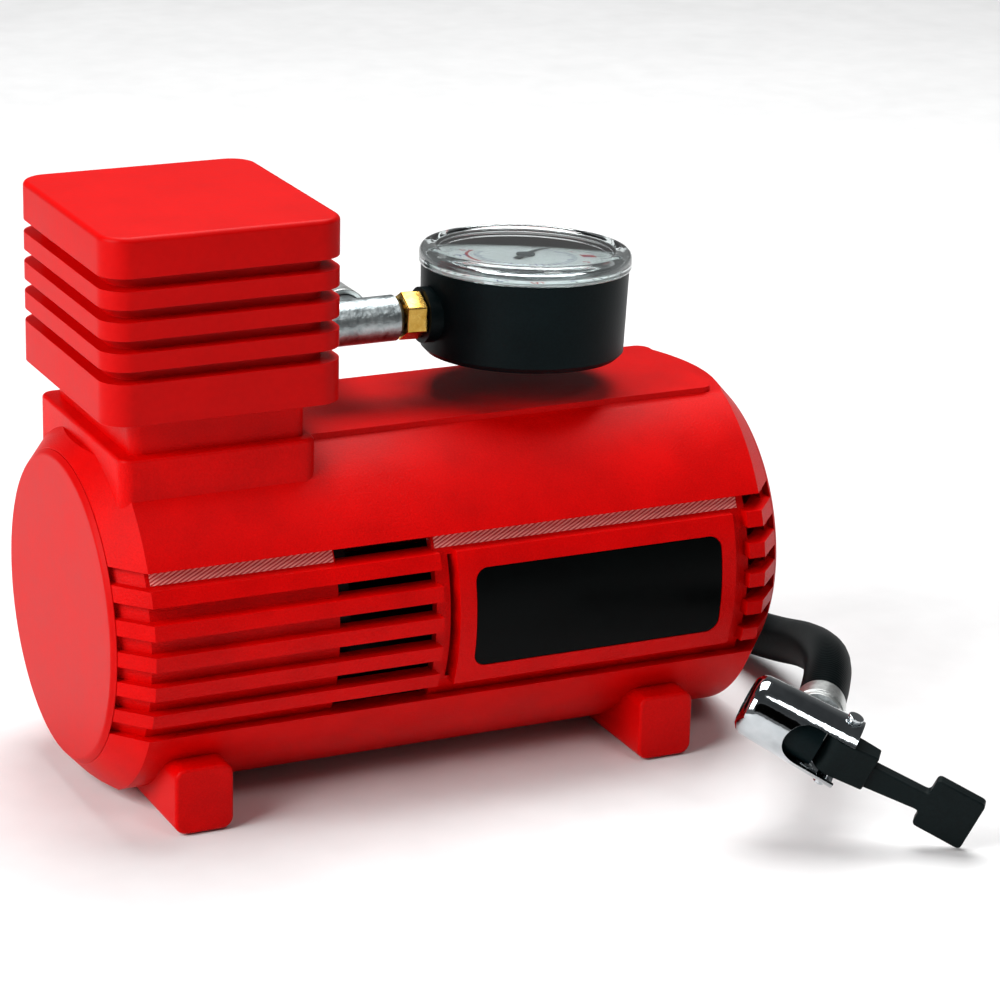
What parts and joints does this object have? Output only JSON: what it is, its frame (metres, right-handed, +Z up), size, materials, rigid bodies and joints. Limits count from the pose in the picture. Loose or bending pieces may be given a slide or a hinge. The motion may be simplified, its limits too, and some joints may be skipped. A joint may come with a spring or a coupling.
{
  "type": "air compressor",
  "caption": "Small tyre compressor: ribbed plastic barrel on bar feet, finned head, pressure gauge, rubber hose and thumb-lock chuck.",
  "frame": {"origin": "on the floor below the middle of the barrel, without the hose and chuck", "axes": "+Z up, +X along the barrel away from the finned head, -Y towards the labelled front"},
  "size_m": [0.1828, 0.3071, 0.1291],
  "materials": {
    "red_housing": "textured moulded ABS",
    "red_smooth": "smooth moulded ABS",
    "black_label": "printed film",
    "black_plastic": "moulded nylon",
    "rubber": "moulded rubber",
    "hose_rubber": "ribbed rubber",
    "cast_zinc": "die cast",
    "turned_aluminium": "turned",
    "brass": "machined",
    "chrome": "polished",
    "steel": "bright steel",
    "blackened_steel": "black passivated",
    "ferrite": "sintered",
    "copper": "enamelled wire",
    "dial_white": "printed",
    "needle_grey": "painted",
    "clear_lens": "clear polycarbonate"
  },
  "bodies": {
    "housing": {"front_housing": "red_housing", "rear_housing": "red_housing", "left_end_plate": "red_smooth", "right_end_plate": "red_smooth", "label_plate": "black_label", "housing_screws": "steel", "cable_grommet": "rubber", "head_cover": "red_smooth", "gearbox_bracket": "blackened_steel", "gear_axle": "steel", "motor_can": "blackened_steel", "motor_magnets": "ferrite", "motor_end_bell": "black_plastic", "motor_bushes": "brass", "motor_brushes": "ferrite", "motor_screws": "steel", "cylinder_sleeve": "turned_aluminium", "valve_plate": "turned_aluminium", "outlet_reed": "steel", "cylinder_head": "cast_zinc", "head_screws": "steel", "outlet_manifold": "cast_zinc", "outlet_grommet": "rubber", "outlet_ferrule": "turned_aluminium", "gauge_case": "black_plastic", "gauge_lens": "clear_lens", "gauge_dial": "dial_white", "gauge_movement": "brass", "gauge_bourdon_tube": "brass", "gauge_socket": "brass", "air_hose": "hose_rubber", "chuck_ferrule": "turned_aluminium", "chuck_body": "black_plastic", "chuck_seal": "rubber"},
    "rotor": {"motor_shaft": "steel", "armature_core": "steel", "armature_windings": "copper", "commutator": "copper", "motor_pinion": "steel"},
    "crank": {"drive_gear": "black_plastic", "crank_disc": "steel", "crank_pin": "steel"},
    "piston_set": {"connecting_rod": "turned_aluminium", "crank_bearing": "steel", "piston": "turned_aluminium", "piston_seal": "rubber", "piston_screw": "steel"},
    "needle": {"gauge_needle": "needle_grey", "needle_spindle": "steel"},
    "chuck_clamp": {"chuck_shell": "chrome", "chuck_pin": "chrome"},
    "lever": {"chuck_lever": "black_plastic"}
  },
  "joints": [
    {"name": "motor_spin", "type": "hinge", "parent": "housing", "child": "rotor", "pos_m": [0, 0, 0.025], "axis": [1, 0, 0], "continuous": true},
    {"name": "gear_spin", "type": "hinge", "parent": "housing", "child": "crank", "pos_m": [-0.0395, 0, 0.047], "axis": [1, 0, 0], "continuous": true},
    {"name": "piston_slide", "type": "slide", "parent": "housing", "child": "piston_set", "axis": [0, 0, 1], "range_m": [-0.012, 0]},
    {"name": "gauge_needle_turn", "type": "hinge", "parent": "housing", "child": "needle", "pos_m": [0.0304, 0, 0.10646], "axis": [0.037, 0.037, 0.9986], "range_deg": [-270, 0], "stiffness_Nm_per_rad": 0.0002},
    {"name": "chuck_squeeze", "type": "slide", "parent": "housing", "child": "chuck_clamp", "axis": [0.7317, -0.5336, -0.4242], "range_m": [0, 0.00151]},
    {"name": "lever_flip", "type": "hinge", "parent": "chuck_clamp", "child": "lever", "pos_m": [0.06351, -0.09002, 0.01977], "axis": [0.3061, -0.2988, 0.9039], "range_deg": [-90, 0]}
  ],
  "couplings": [
    {"joint": "gear_spin", "follows": "motor_spin", "ratio": -0.27907},
    {"joint": "chuck_squeeze", "follows": "lever_flip", "m_per_rad": -0.00095493}
  ]
}
